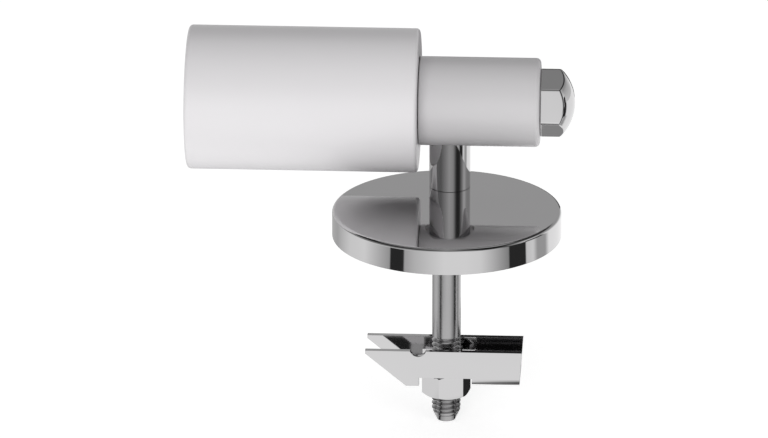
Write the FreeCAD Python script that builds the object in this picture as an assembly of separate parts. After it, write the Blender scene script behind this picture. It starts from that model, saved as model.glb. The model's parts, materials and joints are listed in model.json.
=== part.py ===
import FreeCAD, Part
import math
import os

from FreeCAD import Vector

# Damped toilet seat hinge on an eccentric rosette, in millimetres and degrees.
# The origin is the middle of the gasket's underside, on the fixing stud.
# Z is up along the stud, X runs along the hinge line to the cap nut, Y points to the seat.

# Clearances
running_clearance = 0.05    # radial, between pieces that turn on each other
seat_clearance = 0.05       # radial, between pieces that sit in each other
end_float = 0.1             # along an axis, between pieces that turn on each other
cut_margin = 1.0            # how far a cutting tool reaches past the face it opens

# Rosette
rosette_diameter = 47.5
rosette_height = 6.0
rosette_edge_radius = 0.7
cover_wall = 1.0
cover_lift = 0.4            # rim of the cover above the ceramic
gasket_thickness = 1.0
gasket_bore = 10.0
gasket_groove_width = 1.4
gasket_groove_depth = 0.4
gasket_groove_count = 3

# Fixing stud
stud_diameter = 6.0
stud_reach = 40.7           # tip below the ceramic face
stud_tip_diameter = 3.8
stud_tip_length = 2.4
stud_head_flats = 13.0
stud_head_thickness = 2.0

# Post
post_offset = 14.0          # post and hinge line behind the stud
post_diameter = 8.6
post_above_axis = 5.4       # top of the post above the hinge line
post_chamfer = 0.6
spigot_diameter = 6.4
spigot_land = 0.6           # spigot left below its clip
spring_thickness = 0.5
spring_cone = 0.25
spring_width = 2.1
clip_thickness = 0.8
clip_width = 2.6
clip_groove_depth = 0.6
clip_room = 0.8             # pocket round the clip

# Sleeve
axis_height = 18.7          # hinge line above the rosette
sleeve_diameter = 18.5
sleeve_length = 25.1
sleeve_edge_radius = 1.0
sleeve_joint_radius = 0.3
post_from_barrel = 6.3      # post from the sleeve's barrel end
socket_mouth_diameter = 10.4
socket_mouth_depth = 1.0
key_flat_depth = 0.6        # flat that keys the spindle in the sleeve
key_flat_start = 6.0        # start of that flat, from the post

# Cap nut
cap_nut_flats = 12.5
cap_nut_hex_length = 5.0
cap_nut_dome = 2.2
cap_nut_turn = 18.5
cap_nut_bore_depth = 5.2
cap_nut_foot_chamfer = 0.3

# Barrel
barrel_diameter = 30.0
barrel_length = 48.0
barrel_edge_radius = 0.8
barrel_gap = 0.15           # between the barrel and the sleeve
bulkhead_thickness = 3.0
end_cap_recess = 0.4
end_cap_end = 3.9           # inner face of the end cap, from the barrel's end
seat_flat_depth = 0.7
key_width = 3.0
key_height = 1.2

# Seat screw inserts
insert_diameter = 5.4
insert_bore = 3.3
insert_floor = 1.0          # barrel wall left under an insert
insert_first = 11.0         # first insert from the barrel's end
insert_spacing = 30.0
insert_groove_depth = 0.35
insert_groove_width = 0.8

# Lid bush
lid_bore = 8.0
lid_bush_wall = 2.4
lid_bush_length = 7.0
lid_bush_chamfer = 0.4

# Spindle
spindle_diameter = 6.0
spindle_flats = 5.0
spindle_collar_diameter = 12.0
spindle_collar_length = 2.0
spindle_tip_chamfer = 0.5
spindle_thread_gap = 0.5    # between the spindle's tip and the floor of the cap nut
washer_diameter = 10.0
washer_thickness = 0.5
ring_diameter = 9.6
ring_thickness = 0.8
ring_groove_depth = 0.6
spindle_end_land = 1.0
ring_space = 3.0            # room in the barrel for the washer, the ring and the spindle's end

# Rotary damper
rotor_wall = 0.6            # left under a seal groove
seal_cord = 0.9
seal_slack = 0.02
rotor_step = 0.6
vane_height = 2.5
vane_spread = 22.0
vane_angle = 90.0
vane_seal_width = 1.2
vane_seal_depth = 1.1
vane_seal_proud = 0.3       # strip beyond its vane
stator_spread = 26.0
damper_margin = 11.0        # free angle between vane and stator with the seat down
casing_wall = 1.4
casing_floor = 2.9
damper_cap_thickness = 3.0
damper_cap_seat = 0.55      # step that the damper cap seats on

# Toggle bar
toggle_drop = 23.9          # upper edges below the ceramic
toggle_width = 10.0
toggle_height = 7.7
toggle_sheet = 1.2
toggle_bend = 0.8
toggle_nose = 16.7          # nose from the stud
toggle_nose_edge = 0.7
toggle_nose_foot = 8.2      # foot of the slanted nose from the stud
toggle_tail = 15.9
toggle_tail_lean = 0.5
scoop_from_stud = 5.7       # scoop in the front flange
scoop_width = 3.3
scoop_depth = 1.2

# Toggle nut
nut_flats = 9.0
nut_height = 5.0
nut_turn = 15.0
nut_seat_depth = 1.8        # how far the nut sits up in the bar
nut_swing_clearance = 0.3
nut_chamfer_angle = 30.0

# Worked out places
rosette_radius = rosette_diameter / 2
cover_under = rosette_height - cover_wall
base_radius = rosette_radius - cover_wall - seat_clearance
head_bottom = cover_under - stud_head_thickness
stud_radius = stud_diameter / 2
spigot_radius = spigot_diameter / 2
clip_inner_radius = spigot_radius - clip_groove_depth + seat_clearance
clip_outer_radius = clip_inner_radius + clip_width
spring_bottom = cover_under - end_float - spring_thickness - spring_cone
clip_top = spring_bottom - seat_clearance
clip_bottom = clip_top - clip_thickness
spigot_end = clip_bottom - spigot_land
axis_z = rosette_height + axis_height

sleeve_radius = sleeve_diameter / 2
sleeve_outer_end = -post_from_barrel
sleeve_inner_end = sleeve_outer_end + sleeve_length
barrel_radius = barrel_diameter / 2
barrel_start = sleeve_outer_end - barrel_gap
barrel_end = barrel_start - barrel_length
pocket_depth = lid_bush_length + ring_space
bulkhead_outer = barrel_end + pocket_depth
bulkhead_inner = bulkhead_outer + bulkhead_thickness
seat_flat = barrel_radius - seat_flat_depth

spindle_radius = spindle_diameter / 2
spindle_bore = spindle_radius + running_clearance
journal_radius = spindle_flats / 2
collar_face = sleeve_outer_end - spindle_collar_length
washer_start = bulkhead_outer - end_float / 2
ring_start = washer_start - washer_thickness - end_float / 2
spindle_end = ring_start - ring_thickness - spindle_end_land

damper_start = barrel_start - end_cap_end - end_float
damper_end = bulkhead_inner + end_float
cap_inner = damper_start - damper_cap_thickness
chamber_end = damper_end + casing_floor
groove_floor = spindle_bore + rotor_wall
rotor_journal = groove_floor + seal_cord
rotor_core = rotor_journal + rotor_step
vane_tip = rotor_core + vane_height
chamber_radius = vane_tip + running_clearance
casing_radius = chamber_radius + casing_wall
barrel_bore = casing_radius + seat_clearance
damper_cap_radius = chamber_radius + damper_cap_seat
key_radius = casing_radius + key_height
stator_angle = vane_angle + vane_spread / 2 + stator_spread / 2 + damper_margin
rotor_seal_places = (
    (damper_start + cap_inner) / 2,
    (damper_end + chamber_end) / 2,
)
insert_length = seat_flat - barrel_bore - insert_floor
insert_places = tuple(barrel_start - insert_first - step * insert_spacing for step in range(2))
lid_bush_radius = lid_bore / 2 + lid_bush_wall

toggle_top = -toggle_drop
toggle_bottom = toggle_top - toggle_height
nut_top = toggle_bottom + nut_seat_depth
Z_AXIS = Vector(0, 0, 1)


# Shared shapes

def corner_radius(flats):
    """Distance from the middle of a hexagon to its corners."""
    return flats / math.sqrt(3)


def outline(corners):
    """Closed wire in the XY plane. A corner is (x, y), or (x, y, radius) where it is rounded."""
    points = [Vector(corner[0], corner[1], 0) for corner in corners]
    edges = []
    first = last = None
    for number, (point, corner) in enumerate(zip(points, corners)):
        start = end = point
        if len(corner) == 3:
            back = (points[number - 1] - point).normalize()
            ahead = (points[(number + 1) % len(points)] - point).normalize()
            half = back.getAngle(ahead) / 2
            start = point + back * (corner[2] / math.tan(half))
            end = point + ahead * (corner[2] / math.tan(half))
            inward = (back + ahead).normalize()
            middle = point + inward * (corner[2] / math.sin(half) - corner[2])
        if last is None:
            first = start
        else:
            edges.append(Part.LineSegment(last, start).toShape())
        if len(corner) == 3:
            edges.append(Part.Arc(start, middle, end).toShape())
        last = end
    edges.append(Part.LineSegment(last, first).toShape())
    return Part.Wire(edges)


def turned(corners):
    """Solid of revolution about Z from (radius, height) corners, rounded where a radius follows."""
    face = Part.Face(outline(corners)).rotated(Vector(), Vector(1, 0, 0), 90)
    return face.revolve(Vector(), Z_AXIS, 360)


def prism(corners, low, high):
    """Straight prism on an outline, from height low to high."""
    return Part.Face(outline(corners)).translated(Vector(0, 0, low)).extrude(Z_AXIS * (high - low))


def rod(radius, low, high, y=0):
    """Upright cylinder."""
    return Part.makeCylinder(radius, high - low, Vector(0, y, low))


def ring(inner, outer, low, high):
    """Flat ring with a square section."""
    return rod(outer, low, high).cut(rod(inner, low, high))


def block(x_range, y_range, z_range):
    """Box between three pairs of limits, in either order."""
    low = Vector(min(x_range), min(y_range), min(z_range))
    high = Vector(max(x_range), max(y_range), max(z_range))
    size = high - low
    return Part.makeBox(size.x, size.y, size.z, low)


def hexagon(flats, turn):
    """Corners of a hexagon, the first one at the angle turn."""
    radius = corner_radius(flats)
    angles = [math.radians(turn + 60 * step) for step in range(6)]
    return [(radius * math.cos(angle), radius * math.sin(angle)) for angle in angles]


def sector(inner, outer, low, high, middle, spread):
    """Part of a ring, spread degrees wide about the angle middle."""
    wedge = Part.makeCylinder(outer, high - low, Vector(0, 0, low), Z_AXIS, spread)
    return wedge.cut(rod(inner, low, high)).rotated(Vector(), Z_AXIS, middle - spread / 2)


def seal_ring(floor, height):
    """Round rubber ring in a groove with this floor radius."""
    cord = seal_cord / 2 - seal_slack
    return Part.makeTorus(floor + seal_cord / 2, cord, Vector(0, 0, height))


def open_ring(inner, outer, low, high):
    """Retaining ring, open on the side of -Y so that it slips over its groove."""
    mouth = block((-inner, inner), (-outer - cut_margin, 0), (low, high))
    return ring(inner, outer, low, high).cut(mouth)


def opposite(solid):
    """The solid with its twin half a turn round Z."""
    return [solid, solid.rotated(Vector(), Z_AXIS, 180)]


def on_hinge_line(shape):
    """Lays Z along the hinge line: X becomes Y, Y becomes Z and Z becomes X."""
    laid = shape.rotated(Vector(), Vector(1, 1, 1), 120)
    return laid.translated(Vector(0, post_offset, axis_z))


def on_post(shape):
    """Moves an upright piece from the stud to the post."""
    return shape.translated(Vector(0, post_offset, 0))


# Rosette

def rosette_cover():
    """Pressed cup with a hole for the post's spigot."""
    inside = rosette_radius - cover_wall
    cup = turned([
        (0, rosette_height),
        (rosette_radius, rosette_height, rosette_edge_radius),
        (rosette_radius, cover_lift),
        (inside, cover_lift),
        (inside, cover_under),
        (0, cover_under),
    ])
    hole = rod(spigot_radius + running_clearance, cover_under - cut_margin, rosette_height + cut_margin)
    return cup.cut(on_post(hole))


def rosette_base():
    """Moulded insert that traps the stud's head and leaves room for the post's clip."""
    disc = rod(base_radius, gasket_thickness, cover_under)
    pocket = prism(hexagon(stud_head_flats + 2 * seat_clearance, 0), head_bottom, cover_under + cut_margin)
    hole = rod(stud_radius + seat_clearance, gasket_thickness - cut_margin, cover_under)
    clip_well = rod(clip_outer_radius + clip_room, gasket_thickness - cut_margin, cover_under + cut_margin)
    return disc.cut([pocket, hole, on_post(clip_well)])


def rosette_gasket():
    """Rubber ring with sealing grooves on its underside."""
    inner = gasket_bore / 2
    gasket = ring(inner, base_radius, 0, gasket_thickness)
    pitch = (base_radius - inner) / (gasket_groove_count + 1)
    grooves = []
    for number in range(gasket_groove_count):
        middle = inner + pitch * (number + 1)
        half = gasket_groove_width / 2
        grooves.append(ring(middle - half, middle + half, -cut_margin, gasket_groove_depth))
    return gasket.cut(grooves)


def fixing_stud():
    """Stud with a flat hexagon head and a tapered tip."""
    shank = turned([
        (0, head_bottom),
        (stud_radius, head_bottom),
        (stud_radius, stud_tip_length - stud_reach),
        (stud_tip_diameter / 2, -stud_reach),
        (0, -stud_reach),
    ])
    head = prism(hexagon(stud_head_flats, 0), head_bottom, cover_under)
    return shank.fuse(head).removeSplitter()


# Post and sleeve

def hinge_post():
    """Turned post with a grooved spigot below and a cross hole for the spindle."""
    radius = post_diameter / 2
    foot = rosette_height + seat_clearance
    top = axis_z + post_above_axis
    groove = spigot_radius - clip_groove_depth
    post = turned([
        (0, spigot_end),
        (spigot_radius, spigot_end),
        (spigot_radius, clip_bottom - seat_clearance),
        (groove, clip_bottom - seat_clearance),
        (groove, clip_top + seat_clearance),
        (spigot_radius, clip_top + seat_clearance),
        (spigot_radius, foot),
        (radius, foot),
        (radius, top - post_chamfer),
        (radius - post_chamfer, top),
        (0, top),
    ])
    cross_hole = rod(spindle_radius + seat_clearance, -post_diameter, post_diameter)
    return on_post(post).cut(on_hinge_line(cross_hole))


def post_spring():
    """Coned spring washer that gives the post its drag."""
    inner = spigot_radius + seat_clearance
    outer = inner + spring_width
    low_top = spring_bottom + spring_thickness
    return on_post(turned([
        (inner, spring_bottom + spring_cone),
        (outer, spring_bottom),
        (outer, low_top),
        (inner, low_top + spring_cone),
    ]))


def post_clip():
    """Retaining ring in the spigot's groove."""
    return on_post(open_ring(clip_inner_radius, clip_outer_radius, clip_bottom, clip_top))


def key_flat_cut(radius, start, end):
    """Bar with one flat, the negative of the keyed part of the sleeve's bore."""
    bar = rod(radius, start, end)
    flat = block((-radius, radius), (-radius, key_flat_depth - radius), (start, end))
    return bar.cut(flat)


def hinge_sleeve():
    """Moulded sleeve with a keyed bore and a socket for the post."""
    body = turned([
        (0, sleeve_inner_end),
        (sleeve_radius, sleeve_inner_end, sleeve_edge_radius),
        (sleeve_radius, sleeve_outer_end, sleeve_joint_radius),
        (0, sleeve_outer_end),
    ])
    bore_radius = spindle_radius + seat_clearance
    round_bore = rod(bore_radius, sleeve_outer_end - cut_margin, key_flat_start)
    keyed_bore = key_flat_cut(bore_radius, key_flat_start, sleeve_inner_end + cut_margin)
    sleeve = on_hinge_line(body.cut([round_bore, keyed_bore]))
    socket_top = axis_z + post_above_axis + seat_clearance
    sleeve_bottom = axis_z - sleeve_radius
    socket = rod(post_diameter / 2 + seat_clearance, sleeve_bottom - cut_margin, socket_top)
    mouth = rod(socket_mouth_diameter / 2, sleeve_bottom - cut_margin, sleeve_bottom + socket_mouth_depth)
    return sleeve.cut([on_post(socket), on_post(mouth)])


def cap_nut():
    """Low domed hexagon nut that pulls the spindle's collar against the sleeve."""
    base = sleeve_inner_end
    shoulder = base + cap_nut_hex_length
    apex = shoulder + cap_nut_dome
    corner = corner_radius(cap_nut_flats)
    bar = prism(hexagon(cap_nut_flats, cap_nut_turn), base, apex)
    sphere_radius = ((cap_nut_flats / 2) ** 2 + cap_nut_dome ** 2) / (2 * cap_nut_dome)
    dome = Part.makeSphere(sphere_radius, Vector(0, 0, apex - sphere_radius))
    foot = turned([
        (0, base),
        (corner - cap_nut_foot_chamfer, base),
        (corner, base + cap_nut_foot_chamfer),
        (corner, apex),
        (0, apex),
    ])
    bore = rod(spindle_radius + seat_clearance, base - cut_margin, base + cap_nut_bore_depth)
    return on_hinge_line(bar.common(dome).common(foot).cut(bore))


# Spindle

def spindle():
    """Stepped steel spindle: keyed neck, collar, double flat for the rotor and end journal."""
    tip = sleeve_inner_end + cap_nut_bore_depth - spindle_thread_gap
    collar = spindle_collar_diameter / 2
    groove = journal_radius - ring_groove_depth
    groove_start = ring_start + seat_clearance
    groove_end = ring_start - ring_thickness - seat_clearance
    bar = turned([
        (0, tip),
        (spindle_radius - spindle_tip_chamfer, tip),
        (spindle_radius, tip - spindle_tip_chamfer),
        (spindle_radius, sleeve_outer_end),
        (collar, sleeve_outer_end),
        (collar, collar_face),
        (spindle_radius, collar_face),
        (spindle_radius, damper_end),
        (journal_radius, damper_end),
        (journal_radius, groove_start),
        (groove, groove_start),
        (groove, groove_end),
        (journal_radius, groove_end),
        (journal_radius, spindle_end),
        (0, spindle_end),
    ])
    neck_flat = block(
        (-spindle_radius, spindle_radius),
        (-spindle_radius, key_flat_depth - spindle_radius),
        (key_flat_start - end_float, tip + cut_margin),
    )
    rotor_flat = block(
        (journal_radius, spindle_diameter),
        (-spindle_diameter, spindle_diameter),
        (damper_start + end_float / 2, damper_end),
    )
    return on_hinge_line(bar.cut([neck_flat] + opposite(rotor_flat)))


def spindle_washer():
    """Plain washer against the bulkhead."""
    inner = journal_radius + seat_clearance
    return on_hinge_line(ring(inner, washer_diameter / 2, washer_start - washer_thickness, washer_start))


def spindle_ring():
    """Retaining ring on the end journal."""
    inner = journal_radius - ring_groove_depth + seat_clearance
    return on_hinge_line(open_ring(inner, ring_diameter / 2, ring_start - ring_thickness, ring_start))


# Rotary damper

def damper_rotor():
    """Hollow rotor with two vanes, grooved journals and a bore with two flats."""
    low = damper_end + end_float
    high = damper_start - end_float
    core_low = chamber_end + end_float
    core_high = cap_inner - end_float
    shaft = rod(rotor_journal, low, high).fuse(rod(rotor_core, core_low, core_high))
    vane = sector(rotor_journal, vane_tip - vane_seal_proud, core_low, core_high, vane_angle, vane_spread)
    shaft = shaft.fuse(opposite(vane))
    half = seal_cord / 2 + seat_clearance
    grooves = [ring(groove_floor, rotor_core, place - half, place + half) for place in rotor_seal_places]
    slot = vane_bar(vane_seal_width / 2 + seat_clearance, vane_tip - vane_seal_depth, core_low, core_high)
    bore = rod(spindle_bore, low - cut_margin, high + cut_margin)
    flat = block(
        (journal_radius + seat_clearance, spindle_diameter),
        (-spindle_diameter, spindle_diameter),
        (low - cut_margin, high + cut_margin),
    )
    rotor = shaft.cut(grooves + opposite(slot) + [bore.cut(opposite(flat))])
    return on_hinge_line(rotor.removeSplitter())


def vane_bar(half_width, floor, low, high):
    """Bar along a vane's tip, from the radius floor outwards."""
    bar = block((floor, vane_tip + cut_margin), (-half_width, half_width), (low, high))
    return bar.rotated(Vector(), Z_AXIS, vane_angle)


def vane_seals():
    """Two sealing strips in the vanes' tips."""
    floor = vane_tip - vane_seal_depth + seat_clearance
    low = chamber_end + end_float
    high = cap_inner - end_float
    strip = vane_bar(vane_seal_width / 2, floor, low, high).common(rod(vane_tip, low, high))
    return on_hinge_line(Part.makeCompound(opposite(strip)))


def rotor_seals():
    """Rubber rings on the rotor's journals."""
    return on_hinge_line(Part.makeCompound([seal_ring(groove_floor, place) for place in rotor_seal_places]))


def damper_key(low, high):
    """Pair of keys that stop a piece turning in the barrel."""
    half = key_width / 2
    return opposite(block((-half, half), (rotor_core, key_radius), (low, high)))


def damper_casing():
    """Cup with two inner stators and two outer keys."""
    body = rod(casing_radius, damper_end, damper_start).fuse(damper_key(damper_end, damper_start))
    mouth = rod(damper_cap_radius + seat_clearance, cap_inner, damper_start + cut_margin)
    chamber = rod(chamber_radius, chamber_end, damper_start)
    journal = rod(rotor_journal + running_clearance, damper_end - cut_margin, damper_start)
    inner = rotor_core + running_clearance
    root = chamber_radius + casing_wall / 2
    stator = sector(inner, root, chamber_end, cap_inner, stator_angle, stator_spread)
    cup = body.cut([mouth, chamber, journal]).fuse(opposite(stator))
    return on_hinge_line(cup.removeSplitter())


def damper_cap():
    """Lid of the damper, grooved for its seal."""
    floor = damper_cap_radius - seal_cord
    middle = (damper_start + cap_inner) / 2
    half = seal_cord / 2 + seat_clearance
    disc = ring(rotor_journal + running_clearance, damper_cap_radius, cap_inner, damper_start)
    return on_hinge_line(disc.cut(ring(floor, casing_radius, middle - half, middle + half)))


def damper_cap_seal():
    """Rubber ring round the damper's lid."""
    return on_hinge_line(seal_ring(damper_cap_radius - seal_cord, (damper_start + cap_inner) / 2))


# Barrel

def hinge_barrel():
    """Moulded barrel with a keyed bore for the damper and a flat for the seat."""
    pocket = lid_bush_radius + seat_clearance
    journal = journal_radius + running_clearance
    body = turned([
        (barrel_bore, barrel_start),
        (barrel_radius, barrel_start, barrel_edge_radius),
        (barrel_radius, barrel_end, barrel_edge_radius),
        (pocket, barrel_end),
        (pocket, bulkhead_outer),
        (journal, bulkhead_outer),
        (journal, bulkhead_inner),
        (barrel_bore, bulkhead_inner),
    ])
    half = key_width / 2 + seat_clearance
    reach = key_radius + seat_clearance
    keyway = block((-half, half), (rotor_core, reach), (bulkhead_inner, barrel_start + cut_margin))
    flat = block(
        (seat_flat, barrel_diameter),
        (-barrel_radius, barrel_radius),
        (barrel_end - cut_margin, barrel_start + cut_margin),
    )
    holes = [
        insert_bar(insert_diameter / 2 + seat_clearance, insert_length + seat_clearance, cut_margin, place)
        for place in insert_places
    ]
    return on_hinge_line(body.cut(opposite(keyway) + [flat] + holes))


def insert_bar(radius, depth, proud, place):
    """Cylinder square to the seat's flat, from depth below it to proud above it."""
    return Part.makeCylinder(radius, depth + proud, Vector(seat_flat - depth, 0, place), Vector(1, 0, 0))


def barrel_end_cap():
    """Keyed bearing disc at the barrel's sleeve end, recessed for the spindle's collar."""
    outer = barrel_start - end_cap_recess
    inner = barrel_start - end_cap_end
    disc = rod(casing_radius, inner, outer).fuse(damper_key(inner, outer))
    recess = rod(spindle_collar_diameter / 2 + end_float, collar_face - end_float, outer + cut_margin)
    bore = rod(spindle_bore, inner - cut_margin, outer)
    return on_hinge_line(disc.cut([recess, bore]).removeSplitter())


def lid_bush():
    """Plain bush that takes the lid's pivot pin."""
    bore = lid_bore / 2
    top = barrel_end + lid_bush_length
    return on_hinge_line(turned([
        (bore, top),
        (lid_bush_radius, top),
        (lid_bush_radius, barrel_end),
        (bore + lid_bush_chamfer, barrel_end),
        (bore, barrel_end + lid_bush_chamfer),
    ]))


def seat_inserts():
    """Brass threaded inserts, each with a grip groove."""
    inserts = []
    for place in insert_places:
        body = insert_bar(insert_diameter / 2, insert_length, 0, place)
        bore = insert_bar(insert_bore / 2, insert_length + cut_margin, cut_margin, place)
        middle = insert_length / 2 + insert_groove_width / 2
        groove = insert_bar(insert_diameter, middle, insert_groove_width - middle, place)
        core = insert_bar(insert_diameter / 2 - insert_groove_depth, insert_length, 0, place)
        inserts.append(body.cut(groove.cut(core)).cut(bore))
    return on_hinge_line(Part.makeCompound(inserts))


# Toggle

def toggle_channel():
    """Folded sheet bar: two flanges with slanted noses, joined by a web on the tail's side only."""
    half = toggle_width / 2
    inside = half - toggle_sheet
    outer_bend = toggle_bend + toggle_sheet
    notch_half = corner_radius(nut_flats) + nut_swing_clearance
    tail = prism([
        (-half, toggle_top),
        (-half, toggle_bottom, outer_bend),
        (half, toggle_bottom, outer_bend),
        (half, toggle_top),
        (inside, toggle_top),
        (inside, toggle_bottom + toggle_sheet, toggle_bend),
        (-inside, toggle_bottom + toggle_sheet, toggle_bend),
        (-inside, toggle_top),
    ], notch_half, toggle_tail).rotated(Vector(), Vector(1, 1, 1), 120)
    flange = prism([
        (-toggle_nose, toggle_top),
        (notch_half, toggle_top),
        (notch_half, nut_top),
        (-notch_half, nut_top),
        (-notch_half, toggle_bottom),
        (-toggle_nose_foot, toggle_bottom),
        (-toggle_nose, toggle_top - toggle_nose_edge),
    ], 0, toggle_sheet).rotated(Vector(), Vector(1, 0, 0), 90)
    flanges = [flange.translated(Vector(0, y, 0)) for y in (half, toggle_sheet - half)]
    lean = prism([
        (toggle_tail, toggle_top),
        (toggle_tail, toggle_bottom),
        (toggle_tail - toggle_tail_lean, toggle_bottom),
    ], -half, half).rotated(Vector(), Vector(1, 0, 0), 90)
    scoop_radius = ((scoop_width / 2) ** 2 + scoop_depth ** 2) / (2 * scoop_depth)
    scoop_middle = Vector(-scoop_from_stud, -half, toggle_top - scoop_depth + scoop_radius)
    scoop = Part.makeCylinder(scoop_radius, half, scoop_middle, Vector(0, 1, 0))
    return tail.fuse(flanges).removeSplitter().cut([lean, scoop])


def toggle_nut():
    """Hexagon nut, chamfered at both faces, that turns in the bar's notch."""
    bottom = nut_top - nut_height
    bar = prism(hexagon(nut_flats, nut_turn), bottom, nut_top)
    face = nut_flats / 2
    corner = corner_radius(nut_flats)
    drop = (corner - face) * math.tan(math.radians(nut_chamfer_angle))
    blank = turned([
        (0, bottom),
        (face, bottom),
        (corner, bottom + drop),
        (corner, nut_top - drop),
        (face, nut_top),
        (0, nut_top),
    ])
    bore = rod(stud_radius + running_clearance, bottom - cut_margin, nut_top + cut_margin)
    return bar.common(blank).cut(bore)


os.makedirs("parts", exist_ok=True)
for make_piece in (
    rosette_cover,
    rosette_base,
    rosette_gasket,
    fixing_stud,
    hinge_post,
    post_spring,
    post_clip,
    hinge_sleeve,
    cap_nut,
    spindle,
    spindle_washer,
    spindle_ring,
    damper_rotor,
    vane_seals,
    rotor_seals,
    damper_casing,
    damper_cap,
    damper_cap_seal,
    hinge_barrel,
    barrel_end_cap,
    lid_bush,
    seat_inserts,
    toggle_channel,
    toggle_nut,
):
    make_piece().exportStep(f"parts/{make_piece.__name__}.step")
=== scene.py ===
import json
import math

import bmesh
import bpy
from bpy.props import FloatProperty, FloatVectorProperty, IntProperty, PointerProperty
from mathutils import Matrix, Vector


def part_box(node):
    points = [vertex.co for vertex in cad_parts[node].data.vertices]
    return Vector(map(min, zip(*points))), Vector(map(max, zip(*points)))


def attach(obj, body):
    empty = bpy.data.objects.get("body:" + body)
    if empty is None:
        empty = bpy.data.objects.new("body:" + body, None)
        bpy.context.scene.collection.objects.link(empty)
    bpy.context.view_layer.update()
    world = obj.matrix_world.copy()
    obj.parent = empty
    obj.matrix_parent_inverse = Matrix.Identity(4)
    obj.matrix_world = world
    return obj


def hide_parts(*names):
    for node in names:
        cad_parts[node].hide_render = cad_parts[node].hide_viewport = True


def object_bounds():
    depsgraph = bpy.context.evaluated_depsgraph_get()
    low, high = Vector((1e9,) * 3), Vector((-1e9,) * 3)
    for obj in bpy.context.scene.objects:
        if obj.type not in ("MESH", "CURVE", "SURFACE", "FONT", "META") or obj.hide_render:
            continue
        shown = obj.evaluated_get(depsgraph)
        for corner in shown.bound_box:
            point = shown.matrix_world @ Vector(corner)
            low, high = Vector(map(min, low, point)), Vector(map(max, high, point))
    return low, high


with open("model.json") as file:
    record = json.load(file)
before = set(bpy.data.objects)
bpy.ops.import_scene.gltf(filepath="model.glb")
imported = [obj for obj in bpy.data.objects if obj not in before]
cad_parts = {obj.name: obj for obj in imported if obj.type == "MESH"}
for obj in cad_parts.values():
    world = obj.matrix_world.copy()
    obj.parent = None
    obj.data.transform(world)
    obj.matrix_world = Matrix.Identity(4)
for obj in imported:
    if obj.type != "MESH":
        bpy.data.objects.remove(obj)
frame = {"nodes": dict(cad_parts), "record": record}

bl_info = {
    "name": "Toilet Seat Hinge",
    "version": (1, 0, 0),
    "blender": (4, 5, 0),
    "location": "3D View > Sidebar > Seat Hinge",
    "description": "Models and finishes a damped toilet seat hinge on a chrome rosette",
    "category": "Add Mesh",
}

CAD_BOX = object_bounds()
RECORD = frame["record"]
BODY_OF = {node: body for body, nodes in RECORD["behaviour"]["bodies"].items() for node in nodes}
SLOT_OF = {part["node"]: part["material_slot"] for part in RECORD["subparts"]}
MOUNT = {mount["name"]: mount for mount in RECORD["mounts"]}
MM = 0.001
WELD = 0.0005 * MM          # vertices closer than this are one
BEYOND = 1.0 * MM           # how far a tool reaches beyond the face that it cuts
TURNED_STEPS = 192          # facets round a turned piece
THREAD_STEPS = 64           # facets round a thread
ROUND_STEPS = 96            # facets round a bore, a small piece or a card
EDGE_STEPS = 8              # facets of a rounded edge or a fold
FACING = 0.9                # a face looks along an axis where its normal has this much of it
X, Y, Z = Vector((1, 0, 0)), Vector((0, 1, 0)), Vector((0, 0, 1))
ALONG = {"X": X, "Y": Y, "Z": Z}
# Turns that lay an upright bar along an axis
LAID = {
    "X": Matrix.Rotation(math.pi / 2, 3, "Y"),
    "Y": Matrix.Rotation(-math.pi / 2, 3, "X"),
    "Z": Matrix.Identity(3),
}


def middle(node):
    """Middle of a solid's box."""
    low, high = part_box(node)
    return (low + high) / 2


HINGE_LINE = Vector((0, middle("hinge_sleeve").y, middle("hinge_sleeve").z))
POST_FOOT = Vector((0, HINGE_LINE.y, 0))
STUD_FOOT = Vector((0, 0, 0))


# Sizes and colours that a user would change

def length(name, description, millimetres):
    """A length in the panel."""
    return FloatProperty(
        name=name, description=description, default=millimetres * MM, min=0, precision=5,
        unit="LENGTH", subtype="DISTANCE",
    )


def angle(name, description, degrees):
    """An angle in the panel."""
    return FloatProperty(
        name=name, description=description, default=math.radians(degrees), unit="ROTATION", subtype="ANGLE",
    )


def colour(name, description, value):
    """A colour in the panel."""
    return FloatVectorProperty(
        name=name, description=description, default=value, min=0, max=1, size=3, subtype="COLOR",
    )


def level(name, description, value):
    """A plain factor in the panel."""
    return FloatProperty(name=name, description=description, default=value, min=0)


class HingeRosetteSizes(bpy.types.PropertyGroup):
    """Pressed cup, gasket and stud"""
    cup_wall: length("Cup wall", "Thickness of the pressed cup", 1.0)
    cup_edge: length("Cup edge", "Radius of the cup's upper edge", 0.7)
    cup_lip: length("Cup lip", "Radius of the cup's lower outer edge", 0.15)
    spigot_hole: length("Spigot hole", "Radius of the hole for the post's spigot", 3.25)
    gasket_bore: length("Gasket bore", "Radius of the hole in the gasket", 5.0)
    gasket_edge: length("Gasket edge", "Radius of the gasket's lower edges", 0.15)
    groove_width: length("Groove width", "Width of a sealing groove", 1.4)
    groove_depth: length("Groove depth", "Depth of a sealing groove", 0.4)
    groove_edge: length("Groove edge", "Radius of a groove's edges", 0.12)
    groove_count: IntProperty(name="Grooves", description="Sealing grooves in the gasket", default=3, min=1)
    stud_radius: length("Stud radius", "Outer radius of the stud's thread", 3.0)
    stud_pitch: length("Stud pitch", "Pitch of the stud's thread", 1.0)
    stud_thread_depth: length("Thread depth", "Depth of the stud's thread", 0.61)
    stud_plain: length("Plain shank", "Unthreaded shank below the rosette", 22.5)
    stud_tip_radius: length("Tip radius", "Radius at the end of the tapered tip", 1.9)
    stud_tip_length: length("Tip length", "Length of the tapered tip", 2.4)
    stud_head: length("Head thickness", "Thickness of the stud's hexagon head", 2.0)


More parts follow.
